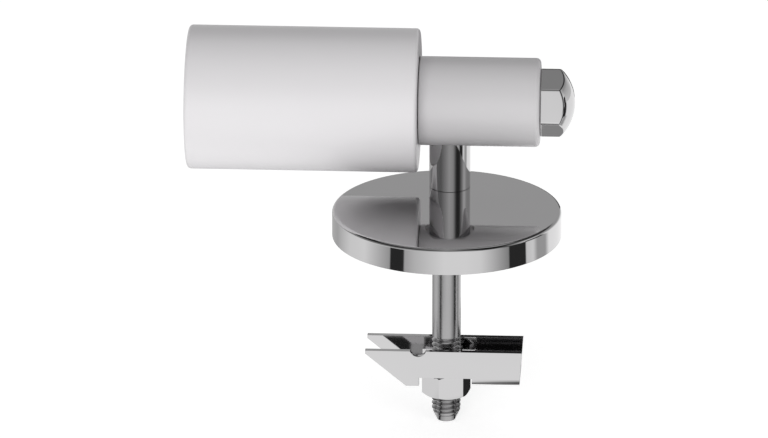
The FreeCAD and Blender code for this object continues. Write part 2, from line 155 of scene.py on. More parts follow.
class HingePostSizes(bpy.types.PropertyGroup):
    """Post, sleeve and cap nut"""
    post_radius: length("Post radius", "Radius of the chrome post", 4.3)
    post_top_edge: length("Post top edge", "Bevel at the post's upper end", 0.6)
    post_foot_edge: length("Post foot edge", "Radius at the post's foot", 0.03)
    spigot_radius: length("Spigot radius", "Radius of the spigot in the rosette", 3.2)
    clip_groove: length("Clip groove", "Radius at the floor of the clip's groove", 2.6)
    cross_hole: length("Cross hole", "Radius of the spindle's hole through post and sleeve", 3.05)
    key_flat: length("Key flat", "Depth of the flat that keys the spindle", 0.6)
    key_start: length("Key start", "Start of the keyed bore from the post", 6.0)
    sleeve_edge: length("Sleeve edge", "Radius of the sleeve's free edge", 1.0)
    sleeve_joint: length("Sleeve joint", "Radius of the sleeve's edge at the barrel", 0.3)
    socket_gap: length("Socket gap", "Gap between the post and its socket", 0.05)
    mouth_radius: length("Socket mouth", "Radius of the socket's recessed mouth", 5.2)
    mouth_depth: length("Mouth depth", "Depth of the socket's recessed mouth", 1.0)
    cap_flats: length("Cap nut flats", "Width of the cap nut across its flats", 12.5)
    cap_dome: length("Cap nut dome", "Height of the cap nut's dome", 2.2)
    cap_edge: length("Cap nut edge", "Radius of the cap nut's edges", 0.3)
    cap_bore: length("Cap nut bore", "Depth of the cap nut's bore", 5.2)
    cap_turn: angle("Cap nut turn", "Angle of a corner above the seat's side", 18.5)


class HingeBarrelSizes(bpy.types.PropertyGroup):
    """Barrel, lid bush and seat inserts"""
    edge: length("Barrel edge", "Radius of the barrel's end edges", 0.8)
    bore: length("Barrel bore", "Radius of the damper's bore", 9.15)
    bulkhead: length("Bulkhead", "Thickness of the wall between the damper and the lid's bush", 3.0)
    ring_space: length("Ring space", "Room behind the bush for the retaining ring", 3.0)
    journal: length("Journal", "Radius of the spindle's hole in the bulkhead", 2.55)
    keyway_width: length("Keyway width", "Width of the damper's keyways", 3.1)
    keyway_reach: length("Keyway reach", "Distance from the hinge line to a keyway's floor", 10.35)
    bush_wall: length("Bush wall", "Wall of the lid's bush", 2.4)
    bush_lead: length("Bush lead", "Chamfer at the bush's mouth", 0.4)
    bush_edge: length("Bush edge", "Radius of the bush's outer edge", 0.1)
    bush_lead_edge: length("Bush lead edge", "Radius of the edge round that chamfer", 0.08)
    fit_gap: length("Fit gap", "Gap round the bush and the inserts", 0.05)
    insert_radius: length("Insert radius", "Radius of a seat insert", 2.7)
    insert_edge: length("Insert edge", "Radius of an insert's outer edge", 0.1)
    insert_groove: length("Insert groove", "Depth of the grip groove round an insert", 0.35)
    insert_groove_width: length("Insert groove width", "Width of that groove", 0.8)
    insert_pitch: length("Insert pitch", "Pitch of the insert's thread", 0.7)
    insert_thread_depth: length("Insert thread depth", "Depth of the insert's thread", 0.35)


class HingeClampSizes(bpy.types.PropertyGroup):
    """Toggle bar and its nut"""
    sheet: length("Sheet", "Thickness of the folded sheet", 1.2)
    bend: length("Bend", "Outer radius of a fold", 2.0)
    nose_edge: length("Nose edge", "Height of the blunt nose", 0.7)
    nose_foot: length("Nose foot", "Foot of the slanted nose from the stud", 8.2)
    tail_lean: length("Tail lean", "How far the tail's end leans in towards its foot", 0.5)
    swing: length("Swing", "Room round the nut's corners in its notch", 0.3)
    scoop_place: length("Scoop place", "Scoop in the front flange, from the stud", 5.7)
    scoop_width: length("Scoop width", "Width of the scoop", 3.3)
    scoop_depth: length("Scoop depth", "Depth of the scoop", 1.2)
    sheet_edge: length("Sheet edge", "Radius of the punched edges", 0.12)
    nut_flats: length("Nut flats", "Width of the nut across its flats", 9.0)
    nut_turn: angle("Nut turn", "Angle of a corner from the hinge line", 15.0)
    nut_chamfer: angle("Nut chamfer", "Angle of the nut's chamfers", 30.0)
    nut_bore: length("Nut bore", "Radius of the nut's bore", 3.05)
    nut_lead: length("Nut lead", "Chamfer at the mouth of the nut's bore", 0.35)


class HingeFinishes(bpy.types.PropertyGroup):
    """Colours of the finishes"""
    chrome: colour("Chrome", "Mirror plating of rosette, post and cap nut", (0.62, 0.615, 0.62))
    zinc_sheet: colour("Zinc sheet", "Bright plated toggle bar and nut", (0.63, 0.625, 0.63))
    zinc_steel: colour("Zinc steel", "Plated stud and spindle", (0.41, 0.406, 0.41))
    spring_steel: colour("Spring steel", "Blued rings and washers", (0.2, 0.21, 0.24))
    white_barrel: colour("Barrel", "Polished white moulding", (0.8, 0.785, 0.8))
    white_sleeve: colour("Sleeve", "Greyer white moulding", (0.66, 0.648, 0.66))
    base_plastic: colour("Base", "Moulded insert of the rosette", (0.5, 0.5, 0.51))
    damper_plastic: colour("Damper", "Filled plastic of the damper", (0.12, 0.125, 0.13))
    bush_plastic: colour("Bush", "Plain bearing plastic", (0.72, 0.71, 0.69))
    rubber: colour("Rubber", "Gasket and seals", (0.025, 0.025, 0.026))
    brass: colour("Brass", "Seat inserts", (0.74, 0.55, 0.27))


class HingeStage(bpy.types.PropertyGroup):
    """Camera, floor and light"""
    azimuth: angle("Azimuth", "Camera's turn from the front towards the cap nut", 3.0)
    elevation: angle("Elevation", "Camera's height above the horizon", 20.6)
    distance: length("Distance", "Camera from the hinge", 1500)
    frame_width: length("Frame width", "Width of the view at the hinge", 158.9)
    aim_right: length("Aim right", "Middle of the view, left of the stud", 13.0)
    aim_down: length("Aim down", "Middle of the view, below the rosette's top", 2.1)
    floor_gap: length("Floor gap", "Floor below the stud's tip", 0.05)
    floor_white: level("Floor white", "Reflectance of the floor", 0.86)
    floor_light: level("Floor light", "Light that comes through the floor from below", 0.36)
    floor_glow: level("Floor glow", "Light that lifts the floor to white in the picture", 0.26)
    sky: level("Sky", "Even light from all round", 0.42)
    key: level("Key", "Power of the soft light in front, in watts", 7.5)
    fill: level("Fill", "Power of the soft fill light in watts", 2.5)
    lamp_side: length("Lamp side", "Side of a soft light", 600)


# Modelling helpers

def leave_edit():
    """Goes back to object mode from any other mode."""
    if bpy.context.mode != "OBJECT":
        bpy.ops.object.mode_set(mode="OBJECT")


def start_clean():
    """Leaves edit mode and deselects everything, so that the next operator acts on one piece alone."""
    leave_edit()
    bpy.ops.object.select_all(action="DESELECT")


def new_piece(name):
    """Names the primitive that was just added and moves its place into its mesh."""
    piece = bpy.context.object
    piece.name = name
    piece.data.name = name
    bpy.ops.object.transform_apply(location=True, rotation=True, scale=True)
    return piece


def make_active(piece):
    """Selects one piece alone."""
    start_clean()
    bpy.context.view_layer.objects.active = piece
    piece.select_set(True)


def edit(piece, mode="VERT"):
    """Opens a piece in edit mode with nothing selected."""
    make_active(piece)
    bpy.ops.object.mode_set(mode="EDIT")
    bpy.ops.mesh.select_mode(type=mode)
    bpy.ops.mesh.select_all(action="DESELECT")


def pick(piece, kind, test):
    """Selects, in edit mode, the verts, edges or faces that pass a test, and only those."""
    bpy.ops.mesh.select_mode(type={"verts": "VERT", "edges": "EDGE", "faces": "FACE"}[kind])
    bpy.ops.mesh.select_all(action="DESELECT")
    shape = bmesh.from_edit_mesh(piece.data)
    found = [part for part in getattr(shape, kind) if test(part)]
    if not found:
        raise RuntimeError(f"{piece.name}: no {kind} at the place that was asked for")
    for part in found:
        part.select_set(True)
    shape.select_flush_mode()
    bmesh.update_edit_mesh(piece.data)


def weld():
    """Merges doubled vertices and points all faces outwards, in edit mode."""
    bpy.ops.mesh.select_all(action="SELECT")
    bpy.ops.mesh.remove_doubles(threshold=WELD)
    bpy.ops.mesh.normals_make_consistent(inside=False)


def mend(piece):
    """Welds a piece that isn't open in edit mode."""
    edit(piece)
    weld()
    leave_edit()


def drawn_line(name, points, closed):
    """Draws a line from one vertex by extruding it from point to point. Stays in edit mode."""
    start_clean()
    bpy.ops.mesh.primitive_plane_add(size=MM, location=points[0])
    piece = new_piece(name)
    edit(piece)
    bpy.ops.mesh.select_all(action="SELECT")
    bpy.ops.mesh.merge(type="CENTER")
    trail = points + points[:1] if closed else points
    for here, there in zip(trail, trail[1:]):
        bpy.ops.mesh.extrude_region_move(TRANSFORM_OT_translate={"value": there - here})
    bpy.ops.mesh.select_all(action="SELECT")
    bpy.ops.mesh.remove_doubles(threshold=WELD)
    return piece


def turned(name, corners, place, axis, closed=True, steps=TURNED_STEPS):
    """Draws half a section from (radius, height) corners, rounds those with a third value and spins it."""
    along = ALONG[axis]
    across = along.orthogonal().normalized()
    points = [place + across * corner[0] + along * corner[1] for corner in corners]
    piece = drawn_line(name, points, closed)
    for point, corner in zip(points, corners):
        if len(corner) == 3:
            pick(piece, "verts", lambda vert: (vert.co - point).length < WELD)
            bpy.ops.mesh.bevel(offset=corner[2], segments=EDGE_STEPS, affect="VERTICES", profile=0.5)
    bpy.ops.mesh.select_all(action="SELECT")
    bpy.ops.mesh.spin(steps=steps, angle=2 * math.pi, center=place, axis=along)
    weld()
    leave_edit()
    return piece


def bar(name, radius, low, high, place, axis, sides=ROUND_STEPS, turn=0.0):
    """Round or many-sided bar along an axis through a place, from low to high along it."""
    start_clean()
    laid = Matrix.Rotation(turn, 3, axis) @ LAID[axis]
    bpy.ops.mesh.primitive_cylinder_add(
        vertices=sides, radius=radius, depth=high - low,
        location=place + ALONG[axis] * (low + high) / 2, rotation=laid.to_euler(),
    )
    return new_piece(name)


def block(name, low, high):
    """Box between two corners."""
    start_clean()
    bpy.ops.mesh.primitive_cube_add(size=1, location=(low + high) / 2, scale=high - low)
    return new_piece(name)


def apply_modifier(piece, kind, **settings):
    """Adds a modifier, sets it up and applies it."""
    make_active(piece)
    modifier = piece.modifiers.new(kind.title(), kind)
    for setting, value in settings.items():
        setattr(modifier, setting, value)
    bpy.ops.object.modifier_apply(modifier=modifier.name)


def combine(piece, tool, operation):
    """Cuts, joins or intersects a piece with a tool body, which is used up."""
    apply_modifier(piece, "BOOLEAN", object=tool, operation=operation, solver="EXACT")
    bpy.data.objects.remove(tool, do_unlink=True)
    if not piece.data.polygons:
        raise RuntimeError(f"{piece.name}: nothing was left of it")


def cut(piece, tool):
    """Cuts a tool body out of a piece."""
    combine(piece, tool, "DIFFERENCE")


def drill(piece, name, radius, low, high, place, axis):
    """Cuts a round hole along an axis through a place, from low to high along it."""
    cut(piece, bar(name, radius, low, high, place, axis))


def cut_plane(piece, point, outwards, fill=True):
    """Cuts away what lies beyond a plane and closes the cut."""
    edit(piece)
    bpy.ops.mesh.select_all(action="SELECT")
    bpy.ops.mesh.bisect(plane_co=point, plane_no=outwards, use_fill=fill, clear_outer=True, threshold=WELD)
    leave_edit()


def threaded_bar(name, crest, depth, pitch, low, high, place, axis):
    """Bar with a real thread: one tooth is drawn, screwed upwards and cut square at both ends."""
    root = crest - depth
    flat = 1 / 8                # share of the pitch that is flat, at the root and at the crest
    lead_in, spare_turns = 2.4, 5       # turns below the lower cut, and turns more than are kept
    turns = math.ceil((high - low) / pitch) + spare_turns
    start = low - lead_in * pitch
    tooth = [(root, 0), (root, flat), (crest, 1 / 2), (crest, 1 / 2 + flat), (root, 1)]
    piece = drawn_line(name, [Vector((radius, 0, start + share * pitch)) for radius, share in tooth], False)
    leave_edit()
    apply_modifier(
        piece, "SCREW", axis="Z", screw_offset=pitch, iterations=turns, steps=THREAD_STEPS,
        render_steps=THREAD_STEPS, use_merge_vertices=True, merge_threshold=WELD,
    )
    mend(piece)
    cut_plane(piece, Z * low, -Z)
    cut_plane(piece, Z * high, Z)
    mend(piece)
    make_active(piece)
    piece.rotation_euler = LAID[axis].to_euler()
    piece.location = place
    bpy.ops.object.transform_apply(location=True, rotation=True, scale=True)
    return piece


def dress(piece, node, smooth=30.0):
    """Smooths a piece up to an angle in degrees, finishes it and puts it in its solid's place."""
    mend(piece)
    make_active(piece)
    bpy.ops.object.shade_smooth_by_angle(angle=math.radians(smooth))
    apply_modifier(piece, "WEIGHTED_NORMAL", keep_sharp=True, weight=100)
    piece.data.materials.clear()
    piece.data.materials.append(finish(SLOT_OF[node]))
    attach(piece, BODY_OF[node])
    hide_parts(node)


# Nodes

def set_inputs(tree, node, inputs):
    """Sets a node's inputs to values, or joins them to the outputs of other nodes."""
    for label, value in inputs.items():
        if isinstance(value, bpy.types.NodeSocket):
            tree.links.new(value, node.inputs[label])
        else:
            node.inputs[label].default_value = value


def add_node(tree, kind, inputs=None, **settings):
    """A new node with its settings and inputs."""
    node = tree.nodes.new(kind)
    for setting, value in settings.items():
        setattr(node, setting, value)
    set_inputs(tree, node, inputs or {})
    return node


def worked_out(tree, operation, first, second, clamp=False):
    """The sum or product of two values."""
    node = add_node(tree, "ShaderNodeMath", {0: first, 1: second}, operation=operation, use_clamp=clamp)
    return node.outputs["Value"]


def noise(tree, vector, scale, detail, roughness=0.5):
    """A noise texture on a vector."""
    texture = add_node(tree, "ShaderNodeTexNoise", {
        "Vector": vector, "Scale": scale, "Detail": detail, "Roughness": roughness,
    })
    return texture.outputs["Fac"]


def spread(tree, value, low, high):
    """Maps a noise value to a range from low to high. Most of a noise texture lies between 0.3 and 0.7."""
    mapped = add_node(tree, "ShaderNodeMapRange", {
        "Value": value, "From Min": 0.3, "From Max": 0.7, "To Min": low, "To Max": high,
    })
    return mapped.outputs["Result"]


def new_material(name):
    """A new material and its node tree."""
    material = bpy.data.materials.new(name)
    material.use_nodes = True
    return material, material.node_tree


# Node groups shared by the finishes

def node_group(name, inputs, outputs):
    """A new shader group with its named sockets: the group, what it is given and what it puts out."""
    group = bpy.data.node_groups.new(name, "ShaderNodeTree")
    for label, kind, default in inputs:
        socket = group.interface.new_socket(label, in_out="INPUT", socket_type=kind)
        socket.default_value = default
    for label, kind in outputs:
        group.interface.new_socket(label, in_out="OUTPUT", socket_type=kind)
    return group, group.nodes.new("NodeGroupInput").outputs, group.nodes.new("NodeGroupOutput")


def cloudy_tone_group():
    """Two close tones drifting over a surface, and a roughness with handling marks."""
    name = "cloudy tone"
    if name in bpy.data.node_groups:
        return bpy.data.node_groups[name]
    group, given, made = node_group(
        name,
        [("Vector", "NodeSocketVector", (0, 0, 0)), ("Light tone", "NodeSocketColor", (1, 1, 1, 1)),
         ("Dark tone", "NodeSocketColor", (0.9, 0.9, 0.9, 1)), ("Smooth", "NodeSocketFloat", 0.1),
         ("Dull", "NodeSocketFloat", 0.2)],
        [("Colour", "NodeSocketColor"), ("Roughness", "NodeSocketFloat")],
    )
    drift = noise(group, given["Vector"], scale=55, detail=4)
    tones = add_node(group, "ShaderNodeMix", {
        "Factor": spread(group, drift, 0, 1), "A": given["Dark tone"], "B": given["Light tone"],
    }, data_type="RGBA")
    marks = noise(group, given["Vector"], scale=160, detail=6, roughness=0.6)
    set_inputs(group, made, {
        "Colour": tones.outputs["Result"],
        "Roughness": spread(group, marks, given["Smooth"], given["Dull"]),
    })
    return group


def fine_skin_group():
    """Height of a fine moulded or rolled skin."""
    name = "fine skin"
    if name in bpy.data.node_groups:
        return bpy.data.node_groups[name]
    group, given, made = node_group(
        name,
        [("Vector", "NodeSocketVector", (0, 0, 0)), ("Wave", "NodeSocketFloat", 400.0),
         ("Grain", "NodeSocketFloat", 3000.0)],
        [("Height", "NodeSocketFloat")],
    )
    layers = [noise(group, given["Vector"], given[label], detail=3) for label in ("Wave", "Grain")]
    set_inputs(group, made, {"Height": worked_out(group, "ADD", *layers)})
    return group


# Finishes

def tone(colour_value, share):
    """A colour made darker or lighter, as a socket value."""
    return (*[min(1.0, part * share) for part in colour_value], 1.0)


def surface(name, colour_value, smooth, dull, depth, stretch=(1, 1, 1), drift=0.06, **shader_values):
    """A finish: cloudy tone, handling marks and a fine skin, stretched along the working direction."""
    material, tree = new_material(name)
    material.diffuse_color = tone(colour_value, 1)
    place = add_node(tree, "ShaderNodeTexCoord").outputs["Object"]
    worked = add_node(tree, "ShaderNodeMapping", {"Vector": place, "Scale": stretch}).outputs["Vector"]
    clouds = add_node(tree, "ShaderNodeGroup", {
        "Vector": worked,
        "Light tone": tone(colour_value, 1 + drift / 2),
        "Dark tone": tone(colour_value, 1 - drift / 2),
        "Smooth": smooth,
        "Dull": dull,
    }, node_tree=cloudy_tone_group())
    skin = add_node(tree, "ShaderNodeGroup", {"Vector": worked}, node_tree=fine_skin_group())
    bump = add_node(tree, "ShaderNodeBump", {
        "Height": skin.outputs["Height"], "Strength": 1.0, "Distance": depth,
    })
    set_inputs(tree, tree.nodes["Principled BSDF"], {
        "Base Color": clouds.outputs["Colour"],
        "Roughness": clouds.outputs["Roughness"],
        "Normal": bump.outputs["Normal"],
        **shader_values,
    })
    return material


# Roughness from smooth to dull, depth of the skin in metres, stretch of the pattern and drift of the tone
FINISH_VALUES = {
    "chrome": dict(smooth=0.02, dull=0.05, depth=2e-8, drift=0.02, Metallic=1.0),
    "zinc_sheet": dict(smooth=0.03, dull=0.06, depth=2e-7, stretch=(0.25, 1, 1), Metallic=1.0),
    "zinc_steel": dict(smooth=0.16, dull=0.26, depth=4e-7, Metallic=1.0),
    "spring_steel": dict(smooth=0.25, dull=0.4, depth=5e-7, Metallic=1.0),
    "white_barrel": dict(smooth=0.28, dull=0.3, depth=1e-7, drift=0.006),
    "white_sleeve": dict(smooth=0.32, dull=0.34, depth=1e-7, drift=0.006),
    "base_plastic": dict(smooth=0.4, dull=0.55, depth=2e-6),
    "damper_plastic": dict(smooth=0.38, dull=0.5, depth=2e-6),
    "bush_plastic": dict(smooth=0.35, dull=0.48, depth=1e-6),
    "rubber": dict(smooth=0.55, dull=0.75, depth=4e-6, drift=0.2),
    "brass": dict(smooth=0.16, dull=0.3, depth=6e-7, drift=0.12, Metallic=1.0),
}


def finish(slot):
    """The finish of a material slot, made at its first use."""
    name = f"hinge_{slot}"
    found = bpy.data.materials.get(name)
    if found:
        return found
    return surface(name, getattr(bpy.context.scene.hinge_finishes, slot), **FINISH_VALUES[slot])


# Pieces

class HINGE_OT_rosette_cup(bpy.types.Operator):
    """Pressed chrome cup with a rounded edge and the post's hole"""
    bl_idname = "hinge.rosette_cup"
    bl_label = "Rosette cup"

    def execute(self, context):
        sizes = context.scene.hinge_rosette
        low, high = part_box("rosette_cover")
        under = high.z - sizes.cup_wall
        inside = high.x - sizes.cup_wall
        cup = turned("rosette_cup", [
            (0, high.z),
            (high.x, high.z, sizes.cup_edge),
            (high.x, low.z, sizes.cup_lip),
            (inside, low.z),
            (inside, under),
            (0, under),
        ], STUD_FOOT, "Z", closed=False)
        drill(cup, "spigot_hole", sizes.spigot_hole, low.z, high.z + BEYOND, POST_FOOT, "Z")
        dress(cup, "rosette_cover")
        return {"FINISHED"}


class HINGE_OT_rosette_gasket(bpy.types.Operator):
    """Rubber gasket with sealing grooves on its underside"""
    bl_idname = "hinge.rosette_gasket"
    bl_label = "Rosette gasket"

    def execute(self, context):
        sizes = context.scene.hinge_rosette
        low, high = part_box("rosette_gasket")
        pitch = (high.x - sizes.gasket_bore) / (sizes.groove_count + 1)
        half = sizes.groove_width / 2
        corners = [(sizes.gasket_bore, high.z), (high.x, high.z), (high.x, low.z, sizes.gasket_edge)]
        for number in range(sizes.groove_count, 0, -1):
            groove = sizes.gasket_bore + number * pitch
            corners += [
                (groove + half, low.z, sizes.groove_edge),
                (groove + half, low.z + sizes.groove_depth),
                (groove - half, low.z + sizes.groove_depth),
                (groove - half, low.z, sizes.groove_edge),
            ]
        corners.append((sizes.gasket_bore, low.z, sizes.gasket_edge))
        dress(turned("rubber_gasket", corners, STUD_FOOT, "Z"), "rosette_gasket")
        return {"FINISHED"}


class HINGE_OT_threaded_stud(bpy.types.Operator):
    """Fixing stud: hexagon head, plain shank and a threaded lower part with a tapered tip"""
    bl_idname = "hinge.threaded_stud"
    bl_label = "Threaded stud"

    def execute(self, context):
        sizes = context.scene.hinge_rosette
        low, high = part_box("fixing_stud")
        shank_end = -sizes.stud_plain
        stud = threaded_bar(
            "threaded_stud", sizes.stud_radius, sizes.stud_thread_depth, sizes.stud_pitch,
            low.z, shank_end + sizes.stud_pitch, STUD_FOOT, "Z",
        )
        reach = sizes.stud_radius + BEYOND
        taper = (sizes.stud_radius - sizes.stud_tip_radius) / sizes.stud_tip_length
        tip = turned("tapered_tip", [
            (0, low.z - BEYOND),
            (sizes.stud_tip_radius - BEYOND * taper, low.z - BEYOND),
            (reach, low.z + (reach - sizes.stud_tip_radius) / taper),
            (reach, high.z),
            (0, high.z),
        ], STUD_FOOT, "Z", closed=False, steps=THREAD_STEPS)
        combine(stud, tip, "INTERSECT")
        head_under = high.z - sizes.stud_head
        shank_top = head_under + 0.1 * MM                   # a little inside the head, so that the two join
        plain = sizes.stud_radius - 0.02 * MM               # a little below the thread's crests
        shank_core = sizes.stud_radius - 1.5 * sizes.stud_thread_depth
        shank = turned("plain_shank", [
            (0, shank_end),
            (shank_core, shank_end),
            (plain, shank_end + sizes.stud_thread_depth),
            (plain, shank_top),
            (0, shank_top),
        ], STUD_FOOT, "Z", closed=False)
        combine(stud, shank, "UNION")
        corner = (high.y - low.y) / math.sqrt(3)
        flats_in_front = math.radians(30)
        head = bar("stud_head", corner, head_under, high.z, STUD_FOOT, "Z", sides=6, turn=flats_in_front)
        combine(stud, head, "UNION")
        dress(stud, "fixing_stud", smooth=25)
        return {"FINISHED"}


class HINGE_OT_chrome_post(bpy.types.Operator):
    """Turned chrome post with its grooved spigot and the spindle's cross hole"""
    bl_idname = "hinge.chrome_post"
    bl_label = "Chrome post"

    def execute(self, context):
        sizes = context.scene.hinge_post
        low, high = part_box("hinge_post")
        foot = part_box("rosette_cover")[1].z + sizes.socket_gap
        clip_low, clip_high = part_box("post_clip")
        post = turned("chrome_post", [
            (0, low.z),
            (sizes.spigot_radius, low.z),
            (sizes.spigot_radius, clip_low.z - sizes.socket_gap),
            (sizes.clip_groove, clip_low.z - sizes.socket_gap),
            (sizes.clip_groove, clip_high.z + sizes.socket_gap),
            (sizes.spigot_radius, clip_high.z + sizes.socket_gap),
            (sizes.spigot_radius, foot),
            (sizes.post_radius, foot, sizes.post_foot_edge),
            (sizes.post_radius, high.z, sizes.post_top_edge),
            (0, high.z),
        ], POST_FOOT, "Z", closed=False)
        reach = 2 * sizes.post_radius
        drill(post, "cross_hole", sizes.cross_hole, -reach, reach, HINGE_LINE, "X")
        dress(post, "hinge_post")
        return {"FINISHED"}


class HINGE_OT_post_sleeve(bpy.types.Operator):
    """White sleeve with a keyed bore and a recessed socket for the post"""
    bl_idname = "hinge.post_sleeve"
    bl_label = "Post sleeve"

    def execute(self, context):
        sizes = context.scene.hinge_post
        low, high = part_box("hinge_sleeve")
        radius = (high.z - low.z) / 2
        sleeve = turned("post_sleeve", [
            (0, low.x),
            (radius, low.x, sizes.sleeve_joint),
            (radius, high.x, sizes.sleeve_edge),
            (0, high.x),
        ], HINGE_LINE, "X", closed=False)
        cut(sleeve, self.keyed_bore(sizes, low.x - BEYOND, high.x + BEYOND))
        socket_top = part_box("hinge_post")[1].z + sizes.socket_gap
        socket_radius = sizes.post_radius + sizes.socket_gap
        mouth_top = low.z + sizes.mouth_depth
        drill(sleeve, "socket", socket_radius, low.z - BEYOND, socket_top, POST_FOOT, "Z")
        drill(sleeve, "mouth", sizes.mouth_radius, low.z - BEYOND, mouth_top, POST_FOOT, "Z")
        dress(sleeve, "hinge_sleeve")
        return {"FINISHED"}

    def keyed_bore(self, sizes, low, high):
        """Bar that is round near the post and flattened on its lower side from the key on."""
        tool = bar("keyed_bore", sizes.cross_hole, low, high, HINGE_LINE, "X")
        flat = HINGE_LINE.z - sizes.cross_hole + sizes.key_flat
        half_step = 0.005 * MM      # the round part turns into the flattened one within a thin slice
        edit(tool)
        for step in (-half_step, half_step):
            bpy.ops.mesh.select_all(action="SELECT")
            bpy.ops.mesh.bisect(plane_co=(sizes.key_start + step, 0, 0), plane_no=X, threshold=WELD)
        pick(tool, "verts", lambda vert: vert.co.x > sizes.key_start and vert.co.z < flat)
        bpy.ops.transform.resize(value=(1, 1, 0), center_override=(0, 0, flat))
        leave_edit()
        return tool


class HINGE_OT_cap_nut(bpy.types.Operator):
    """Chrome hexagon cap nut with a low dome and softened edges"""
    bl_idname = "hinge.cap_nut"
    bl_label = "Cap nut"

    def execute(self, context):
        sizes = context.scene.hinge_post
        low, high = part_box("cap_nut")
        corner = sizes.cap_flats / math.sqrt(3)
        end = high.x + BEYOND
        facet_cuts, rings = 15, 8                           # the end's mesh, fine enough to take the dome
        dome_steps, dome_sweep = 96, math.radians(60)       # the dome's section
        nut = bar("domed_cap_nut", corner, low.x, end, HINGE_LINE, "X", sides=6, turn=sizes.cap_turn)
        edit(nut)
        pick(nut, "edges", lambda edge: abs(edge.verts[0].co.x - edge.verts[1].co.x) < WELD)
        bpy.ops.mesh.subdivide(number_cuts=facet_cuts)
        pick(nut, "faces", lambda face: face.normal.x > FACING)
        for ring in range(rings, 1, -1):
            shrink = (ring - 1) / ring
            bpy.ops.mesh.extrude_region()
            bpy.ops.transform.resize(value=(1, shrink, shrink), center_override=HINGE_LINE + X * end)
        bpy.ops.mesh.poke()
        pick(nut, "verts", lambda vert: vert.co.x > high.x)
        bpy.ops.object.vertex_group_assign_new()
        leave_edit()
        ball = ((sizes.cap_flats / 2) ** 2 + sizes.cap_dome ** 2) / (2 * sizes.cap_dome)
        sweep = [dome_sweep * step / dome_steps for step in range(dome_steps + 1)]
        dome = turned("dome", [
            (ball * math.sin(turn), high.x - ball + ball * math.cos(turn)) for turn in sweep
        ], HINGE_LINE, "X", closed=False, steps=360)
        apply_modifier(
            nut, "SHRINKWRAP", target=dome, wrap_method="PROJECT", vertex_group=nut.vertex_groups[0].name,
            use_project_x=True, use_positive_direction=False, use_negative_direction=True,
        )
        bpy.data.objects.remove(dome, do_unlink=True)
        nut.vertex_groups.clear()
        edit(nut, "EDGE")
        bpy.ops.mesh.edges_select_sharp(sharpness=math.radians(25))
        bpy.ops.mesh.bevel(offset=sizes.cap_edge, segments=4, affect="EDGES", profile=0.5)
        leave_edit()
        bore_end = low.x + sizes.cap_bore
        drill(nut, "cap_bore", sizes.cross_hole, low.x - BEYOND, bore_end, HINGE_LINE, "X")
        dress(nut, "cap_nut")
        return {"FINISHED"}


class HINGE_OT_seat_barrel(bpy.types.Operator):
    """White barrel with its damper bore, bulkhead, bush pocket and seat flat"""
    bl_idname = "hinge.seat_barrel"
    bl_label = "Seat barrel"

    def execute(self, context):
        sizes = context.scene.hinge_barrel
        low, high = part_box("hinge_barrel")
        bush_low, bush_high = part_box("lid_bush")
        radius = (high.z - low.z) / 2
        pocket = (bush_high.z - bush_low.z) / 2 + sizes.fit_gap
        wall_outer = bush_high.x + sizes.ring_space
        wall_inner = wall_outer + sizes.bulkhead
        barrel = turned("seat_barrel", [
            (sizes.bore, high.x),
            (radius, high.x, sizes.edge),
            (radius, low.x, sizes.edge),
            (pocket, low.x),
            (pocket, wall_outer),
            (sizes.journal, wall_outer),
            (sizes.journal, wall_inner),
            (sizes.bore, wall_inner),
        ], HINGE_LINE, "X")
        reach = Vector((0, sizes.keyway_width / 2, sizes.keyway_reach))
        keyway_end = high.x + BEYOND
        keyway = block("keyways", HINGE_LINE - reach + X * wall_inner, HINGE_LINE + reach + X * keyway_end)
        cut(barrel, keyway)
        flat_low = Vector((low.x - BEYOND, high.y, low.z))
        behind_flat = block("beyond_flat", flat_low, high + Vector((BEYOND, 2 * BEYOND, 0)))
        cut(barrel, behind_flat)
        insert_low, insert_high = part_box("seat_inserts")
        hole_radius = sizes.insert_radius + sizes.fit_gap
        for place in insert_places():
            deep = insert_low.y - sizes.fit_gap - place.y
            mouth = insert_high.y + BEYOND - place.y
            drill(barrel, "insert_hole", hole_radius, deep, mouth, place, "Y")
        dress(barrel, "hinge_barrel", smooth=14)
        return {"FINISHED"}


def insert_places():
    """Mouths of the two seat inserts, from the screw mount."""
    mount = MOUNT["seat_screws"]
    half = mount["dims"]["spacing_x_mm"] * MM / 2
    return [Vector(mount["pos_m"]) + X * side * half for side in (-1, 1)]


class HINGE_OT_pivot_bush(bpy.types.Operator):
    """Plain bush for the lid's pivot pin"""
    bl_idname = "hinge.pivot_bush"
    bl_label = "Pivot bush"

    def execute(self, context):
        sizes = context.scene.hinge_barrel
        low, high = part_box("lid_bush")
        outer = (high.z - low.z) / 2
        bore = outer - sizes.bush_wall
        bush = turned("pivot_bush", [
            (bore, high.x),
            (outer, high.x),
            (outer, low.x, sizes.bush_edge),
            (bore + sizes.bush_lead, low.x, sizes.bush_lead_edge),
            (bore, low.x + sizes.bush_lead),
        ], HINGE_LINE, "X")
        dress(bush, "lid_bush")
        return {"FINISHED"}


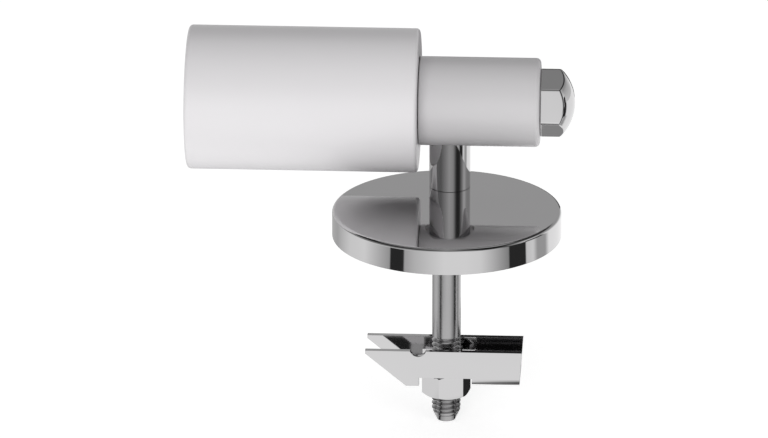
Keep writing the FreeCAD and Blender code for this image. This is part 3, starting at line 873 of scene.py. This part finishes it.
class HINGE_OT_seat_inserts(bpy.types.Operator):
    """Two brass inserts with a grip groove and a real inner thread"""
    bl_idname = "hinge.seat_inserts"
    bl_label = "Seat inserts"

    def execute(self, context):
        sizes = context.scene.hinge_barrel
        low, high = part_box("seat_inserts")
        bore = MOUNT["seat_screws"]["dims"]["hole_r_mm"] * MM
        deep = low.y - high.y
        groove_low = deep / 2 - sizes.insert_groove_width / 2
        groove_high = deep / 2 + sizes.insert_groove_width / 2
        floor = sizes.insert_radius - sizes.insert_groove
        cut_depth = 1.2 * sizes.insert_thread_depth         # past the bore, so that the thread opens into it
        inserts = []
        for number, place in enumerate(insert_places()):
            insert = turned(f"seat_insert_{number}", [
                (bore, deep),
                (sizes.insert_radius, deep),
                (sizes.insert_radius, groove_low),
                (floor, groove_low),
                (floor, groove_high),
                (sizes.insert_radius, groove_high),
                (sizes.insert_radius, 0, sizes.insert_edge),
                (bore + sizes.insert_thread_depth, 0),
                (bore, -sizes.insert_thread_depth),
            ], place, "Y", steps=ROUND_STEPS)
            thread = threaded_bar(
                "insert_thread", bore + sizes.insert_thread_depth, cut_depth, sizes.insert_pitch,
                deep - BEYOND, BEYOND, place, "Y",
            )
            cut(insert, thread)
            inserts.append(insert)
        start_clean()
        for insert in inserts:
            insert.select_set(True)
        bpy.context.view_layer.objects.active = inserts[0]
        bpy.ops.object.join()
        inserts[0].name = "threaded_inserts"
        dress(inserts[0], "seat_inserts", smooth=25)
        return {"FINISHED"}


class HINGE_OT_toggle_bar(bpy.types.Operator):
    """Folded toggle bar: a flange is drawn, folded under as half a web, mirrored and thickened"""
    bl_idname = "hinge.toggle_bar"
    bl_label = "Toggle bar"

    def execute(self, context):
        sizes = context.scene.hinge_clamp
        low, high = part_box("toggle_channel")
        fold = low.z + sizes.bend
        notch_half = sizes.nut_flats / math.sqrt(3) + sizes.swing
        notch_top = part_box("toggle_nut")[1].z
        toggle = drawn_line("toggle_bar", [Vector((x, low.y, z)) for x, z in (
            (low.x, high.z - sizes.nose_edge),
            (low.x, high.z),
            (high.x, high.z),
            (high.x, fold),
            (notch_half, fold),
            (notch_half, notch_top),
            (-notch_half, notch_top),
            (-notch_half, low.z),
            (-sizes.nose_foot, low.z),
        )], True)
        bpy.ops.mesh.edge_face_add()
        pick(toggle, "edges", lambda edge: all(
            abs(vert.co.z - fold) < WELD and vert.co.x > notch_half - WELD for vert in edge.verts))
        bpy.ops.mesh.spin(
            steps=EDGE_STEPS, angle=math.pi / 2, center=(0, low.y + sizes.bend, fold), axis=-X,
        )
        self.check_fold(toggle, low)
        bpy.ops.mesh.extrude_region_move(TRANSFORM_OT_translate={"value": Y * (-low.y - sizes.bend)})
        weld()
        leave_edit()
        lean = Vector((high.z - low.z, 0, -sizes.tail_lean))
        cut_plane(toggle, Vector((high.x, 0, high.z)), lean.normalized(), fill=False)
        apply_modifier(
            toggle, "MIRROR", use_axis=(False, True, False), use_clip=True, merge_threshold=WELD,
        )
        mend(toggle)
        front_faces = [face for face in toggle.data.polygons if face.center.y < 0]
        flange = max(front_faces, key=lambda face: len(face.vertices))
        inwards = -1.0 if flange.normal.y < 0 else 1.0
        apply_modifier(toggle, "SOLIDIFY", thickness=sizes.sheet, offset=inwards, use_even_offset=True)
        scoop_radius = ((sizes.scoop_width / 2) ** 2 + sizes.scoop_depth ** 2) / (2 * sizes.scoop_depth)
        scoop_place = Vector((-sizes.scoop_place, 0, high.z - sizes.scoop_depth + scoop_radius))
        drill(toggle, "scoop", scoop_radius, low.y - BEYOND, 0, scoop_place, "Y")
        apply_modifier(
            toggle, "BEVEL", width=sizes.sheet_edge, segments=3, limit_method="ANGLE",
            angle_limit=math.radians(35), harden_normals=False,
        )
        dress(toggle, "toggle_channel")
        return {"FINISHED"}

    def check_fold(self, toggle, low):
        """The fold has to end at the underside of the bar."""
        lowest = min(vert.co.z for vert in bmesh.from_edit_mesh(toggle.data).verts)
        if abs(lowest - low.z) > 10 * WELD:
            raise RuntimeError("toggle_bar: the fold went the wrong way")


class HINGE_OT_toggle_nut(bpy.types.Operator):
    """Hexagon nut with chamfered corners and a lead into its bore"""
    bl_idname = "hinge.toggle_nut"
    bl_label = "Toggle nut"

    def execute(self, context):
        sizes = context.scene.hinge_clamp
        low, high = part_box("toggle_nut")
        corner = sizes.nut_flats / math.sqrt(3)
        face = sizes.nut_flats / 2
        reach = corner + BEYOND
        slant = (reach - face) * math.tan(sizes.nut_chamfer)
        turn = sizes.nut_turn - math.pi / 2                 # a bar's first corner lies on the Y axis
        nut = bar("clamp_nut", corner, low.z, high.z, STUD_FOOT, "Z", sides=6, turn=turn)
        blank = turned("nut_blank", [
            (sizes.nut_bore, low.z + sizes.nut_lead),
            (sizes.nut_bore + sizes.nut_lead, low.z),
            (face, low.z),
            (reach, low.z + slant),
            (reach, high.z - slant),
            (face, high.z),
            (sizes.nut_bore + sizes.nut_lead, high.z),
            (sizes.nut_bore, high.z - sizes.nut_lead),
        ], STUD_FOOT, "Z")
        combine(nut, blank, "INTERSECT")
        dress(nut, "toggle_nut", smooth=20)
        return {"FINISHED"}


class HINGE_OT_inner_finishes(bpy.types.Operator):
    """Finishes of the inner pieces, which keep their solids' own shapes"""
    bl_idname = "hinge.inner_finishes"
    bl_label = "Inner finishes"

    def execute(self, context):
        for node, solid in frame["nodes"].items():
            if not solid.hide_render:
                solid.data.materials.clear()
                solid.data.materials.append(finish(SLOT_OF[node]))
        return {"FINISHED"}


# Stage

def seen_directly(tree):
    """1 for rays from the camera, a mirror or a glass, and 0 for the light that falls on the hinge."""
    rays = add_node(tree, "ShaderNodeLightPath").outputs
    total = rays["Is Camera Ray"]
    for label in ("Is Glossy Ray", "Is Transmission Ray"):
        total = worked_out(tree, "ADD", total, rays[label], clamp=True)
    return total


def floor_material(settings):
    """White floor that keeps the shadow, seen from above only."""
    material, tree = new_material("white_floor")
    tree.nodes.clear()
    paint = add_node(tree, "ShaderNodeBsdfDiffuse", {"Color": (*[settings.floor_white] * 3, 1)})
    lift = add_node(tree, "ShaderNodeMapRange", {
        "Value": seen_directly(tree),
        "To Min": settings.floor_light,
        "To Max": settings.floor_light + settings.floor_glow,
    })
    glow = add_node(tree, "ShaderNodeEmission", {"Strength": lift.outputs["Result"]})
    lit = add_node(tree, "ShaderNodeAddShader", {0: paint.outputs["BSDF"], 1: glow.outputs["Emission"]})
    shown = add_node(tree, "ShaderNodeMixShader", {
        "Fac": add_node(tree, "ShaderNodeNewGeometry").outputs["Backfacing"],
        1: lit.outputs["Shader"],
        2: add_node(tree, "ShaderNodeBsdfTransparent").outputs["BSDF"],
    })
    add_node(tree, "ShaderNodeOutputMaterial", {"Surface": shown.outputs["Shader"]})
    return material


# Places and sizes on the stage, in metres
FLOOR_SIDE = 8
ROOM_RADIUS, ROOM_HEIGHT = 0.7, 1.75
NEAR_FLOOR_RADIUS = 0.165
CARD_STEP = 0.1 * MM        # between cards that lie one above the other on the floor
KEY_PLACE, FILL_PLACE = Vector((-0.3, -1.4, 0.3)), Vector((1.0, -1.0, 0.4))

# Levels round the stud, as (degrees from the front towards the cap nut, level)
FLOOR_GLOW = [
    (-179, 0.5), (-130, 0.5), (-103, 0.88), (-81, 0.95), (-62, 0.62), (-52, 0.45), (-51, 0.03),
    (-38, 0.03), (-37, 0.5), (-27, 0.68), (0, 0.98), (20, 0.98), (34, 0.92), (54, 0.48), (62, 0.32),
    (63, 0.03), (82, 0.03), (83, 0.8), (92, 0.9), (98, 0.45), (111, 0.45), (118, 1.05), (179, 1.05),
]
FAR_GLOW = [
    (-179, 0.5), (-130, 0.5), (-103, 0.88), (-81, 0.95), (-27, 0.7), (0, 0.98), (20, 0.98),
    (34, 0.92), (54, 0.48), (60, 0.03), (107, 0.03), (112, 1.05), (179, 1.05),
]
ROOM_GLOW = [
    (-179, 0.42), (-140, 0.42), (-110, 0.24), (-80, 0.23), (-50, 0.18), (-20, 0.4), (0, 0.58),
    (20, 0.5), (38, 0.07), (46, 0.03), (59, 0.045), (75, 0.32), (90, 0.7), (112, 0.4), (140, 0.36),
    (150, 0.42), (179, 0.42),
]
# The room's level by height, as a share of the level at the height that the rosette mirrors
ROOM_FADE = [
    (0.0, 1.9), (0.03, 1.8), (0.1, 1.5), (0.2, 1.0), (0.36, 1.0), (0.44, 0.12), (0.95, 0.12),
    (1.05, 0.72), (1.7, 0.8),
]


def ramp_on(tree, fraction, stops):
    """A colour ramp over 0 to 1 with grey stops."""
    ramp = add_node(tree, "ShaderNodeValToRGB", {"Fac": fraction})
    elements = ramp.color_ramp.elements
    while len(elements) > len(stops):
        elements.remove(elements[-1])
    while len(elements) < len(stops):
        elements.new(0.5)
    for element, (position, value) in zip(elements, stops):
        element.position = position
        element.color = (value, value, value, 1)
    return ramp.outputs["Color"]


def glow_by_direction(name, stops, fade):
    """A stage material that glows by the direction round the stud and, for the room, by height."""
    material, tree = new_material(name)
    tree.nodes.clear()
    place = add_node(tree, "ShaderNodeTexCoord").outputs["Object"]
    from_front = add_node(tree, "ShaderNodeMapping", {"Vector": place, "Rotation": (0, 0, math.pi / 2)})
    radial = add_node(
        tree, "ShaderNodeTexGradient", {"Vector": from_front.outputs["Vector"]}, gradient_type="RADIAL",
    )
    turns = [(0.5 + degrees / 360, value) for degrees, value in stops]
    strength = ramp_on(tree, radial.outputs["Fac"], turns)
    if fade:
        top, most = fade[-1][0], max(value for _, value in fade)
        height = add_node(tree, "ShaderNodeSeparateXYZ", {"Vector": place}).outputs["Z"]
        share = worked_out(tree, "MULTIPLY", height, 1 / top)
        profile = ramp_on(tree, share, [(up / top, value / most) for up, value in fade])
        strength = worked_out(tree, "MULTIPLY", worked_out(tree, "MULTIPLY", strength, profile), most)
    glow = add_node(tree, "ShaderNodeEmission", {"Strength": strength})
    add_node(tree, "ShaderNodeOutputMaterial", {"Surface": glow.outputs["Emission"]})
    return material


def reflection_card(card, stops, fade=None):
    """A card that is seen in mirror surfaces only."""
    glow = glow_by_direction(f"{card.name}_glow", stops, fade)
    glow.cycles.emission_sampling = "NONE"
    card.data.materials.append(glow)
    card.visible_camera = False
    card.visible_diffuse = False
    card.visible_transmission = False
    card.visible_shadow = False
    card.visible_volume_scatter = False


class HINGE_OT_stage(bpy.types.Operator):
    """White floor, soft light, reflection cards and the camera"""
    bl_idname = "hinge.stage"
    bl_label = "Stage"

    def execute(self, context):
        settings = context.scene.hinge_stage
        floor_z = CAD_BOX[0].z - settings.floor_gap
        self.floor(settings, floor_z)
        self.cards(floor_z)
        self.lights(context, settings)
        self.camera(context, settings)
        context.scene.view_settings.view_transform = "Standard"
        return {"FINISHED"}

    def floor(self, settings, floor_z):
        """White floor below the stud's tip."""
        start_clean()
        bpy.ops.mesh.primitive_plane_add(size=FLOOR_SIDE, location=(0, 0, floor_z))
        floor = new_piece("floor")
        floor.data.materials.append(floor_material(settings))

    def cards(self, floor_z):
        """Cards that the bright metal mirrors: the floor, the room, dark flags and small bright cards."""
        for name, stops, radius, rise in (
            ("far_floor_card", FAR_GLOW, ROOM_RADIUS, CARD_STEP),
            ("floor_card", FLOOR_GLOW, NEAR_FLOOR_RADIUS, 2 * CARD_STEP),
        ):
            start_clean()
            bpy.ops.mesh.primitive_circle_add(
                vertices=ROUND_STEPS, radius=radius, fill_type="NGON", location=(0, 0, floor_z + rise),
            )
            reflection_card(new_piece(name), stops)
        start_clean()
        bpy.ops.mesh.primitive_cylinder_add(
            vertices=ROUND_STEPS, radius=ROOM_RADIUS, depth=ROOM_HEIGHT, end_fill_type="NGON",
            location=(0, 0, floor_z + ROOM_HEIGHT / 2),
        )
        room = new_piece("room_card")
        edit(room)
        pick(room, "faces", lambda face: face.normal.z < -FACING)
        bpy.ops.mesh.delete(type="FACE")
        leave_edit()
        reflection_card(room, ROOM_GLOW, ROOM_FADE)
        low = floor_z + 4 * CARD_STEP
        lying, behind, sideways = (0, 0, 0), (math.pi / 2, 0, 0), (0, math.pi / 2, 0)
        for name, level_here, size, place, turn in (
            ("rear_flag", 0.02, (0.064, 0.04), (0.023, 0.12, 0.012), behind),
            ("end_flag", 0.03, (0.12, 0.27), (0.66, 0.065, 0.02), sideways),
            ("under_flag", 0.025, (0.044, 0.029), (0.006, 0.0155, low), lying),
            ("side_flag", 0.32, (0.023, 0.025), (0.0285, 0.0475, low), lying),
            ("front_card", 1.0, (0.05, 0.045), (0, -0.04, low), lying),
            ("nose_card", 0.5, (0.0028, 0.012), (-0.0079, 0.0255, low + CARD_STEP), lying),
        ):
            start_clean()
            bpy.ops.mesh.primitive_plane_add(size=1, location=place, rotation=turn)
            bpy.context.object.scale = (*size, 1)
            reflection_card(new_piece(name), [(0, level_here)])

    def lights(self, context, settings):
        """Even white light from all round and two soft lights in front."""
        world = bpy.data.worlds.new("white_studio")
        context.scene.world = world
        world.use_nodes = True
        tree = world.node_tree
        strength = add_node(tree, "ShaderNodeMapRange", {
            "Value": seen_directly(tree), "To Min": settings.sky, "To Max": 1.0,
        })
        set_inputs(tree, tree.nodes["Background"], {
            "Color": (1, 1, 1, 1), "Strength": strength.outputs["Result"],
        })
        for name, power, place in (
            ("key_light", settings.key, KEY_PLACE),
            ("fill_light", settings.fill, FILL_PLACE),
        ):
            start_clean()
            bpy.ops.object.light_add(type="AREA", location=place)
            lamp = context.object
            lamp.name = name
            lamp.data.energy = power
            lamp.data.size = settings.lamp_side
            lamp.rotation_euler = (-place).to_track_quat("-Z", "Y").to_euler()
            lamp.visible_camera = False
            lamp.visible_glossy = False

    def camera(self, context, settings):
        """Camera at the photo's angle."""
        turn, rise = settings.azimuth, settings.elevation
        back = Vector((math.sin(turn) * math.cos(rise), -math.cos(turn) * math.cos(rise), math.sin(rise)))
        right = Vector((math.cos(turn), math.sin(turn), 0))
        up = back.cross(right)
        rosette_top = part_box("rosette_cover")[1].z
        aim = Z * rosette_top - right * settings.aim_right - up * settings.aim_down
        start_clean()
        bpy.ops.object.camera_add(location=aim + back * settings.distance)
        camera = context.object
        camera.name = "photo_camera"
        camera.rotation_euler = (-back).to_track_quat("-Z", "Y").to_euler()
        camera.data.lens = camera.data.sensor_width * settings.distance / settings.frame_width
        camera.data.clip_start = 10 * MM
        context.scene.camera = camera


# Panel and registration

PIECE_OPERATORS = (
    HINGE_OT_rosette_cup,
    HINGE_OT_rosette_gasket,
    HINGE_OT_threaded_stud,
    HINGE_OT_chrome_post,
    HINGE_OT_post_sleeve,
    HINGE_OT_cap_nut,
    HINGE_OT_seat_barrel,
    HINGE_OT_pivot_bush,
    HINGE_OT_seat_inserts,
    HINGE_OT_toggle_bar,
    HINGE_OT_toggle_nut,
    HINGE_OT_inner_finishes,
    HINGE_OT_stage,
)
SETTINGS = {
    "hinge_rosette": HingeRosetteSizes,
    "hinge_post": HingePostSizes,
    "hinge_barrel": HingeBarrelSizes,
    "hinge_clamp": HingeClampSizes,
    "hinge_finishes": HingeFinishes,
    "hinge_stage": HingeStage,
}


class HINGE_PT_panel(bpy.types.Panel):
    """Lists the hinge's pieces and its sizes"""
    bl_idname = "HINGE_PT_panel"
    bl_label = "Seat Hinge"
    bl_space_type = "VIEW_3D"
    bl_region_type = "UI"
    bl_category = "Seat Hinge"

    def draw(self, context):
        for operator in PIECE_OPERATORS:
            self.layout.operator(operator.bl_idname)
        for attribute, group in SETTINGS.items():
            column = self.layout.column(heading=group.__doc__)
            for name in group.__annotations__:
                column.prop(getattr(context.scene, attribute), name)


CLASSES = (*SETTINGS.values(), *PIECE_OPERATORS, HINGE_PT_panel)


def register():
    """Adds the classes and puts their settings on the scene."""
    for item in CLASSES:
        bpy.utils.register_class(item)
    for attribute, group in SETTINGS.items():
        setattr(bpy.types.Scene, attribute, PointerProperty(type=group))


def unregister():
    """Takes off all that register added."""
    for attribute in SETTINGS:
        delattr(bpy.types.Scene, attribute)
    for item in reversed(CLASSES):
        bpy.utils.unregister_class(item)


def main():
    """Builds every piece and the stage, and writes the boxes of the solids and of the picture's pieces."""
    register()
    for operator in PIECE_OPERATORS:
        category, name = operator.bl_idname.split(".")
        getattr(getattr(bpy.ops, category), name)()
    start_clean()


if __name__ == "__main__":
    main()
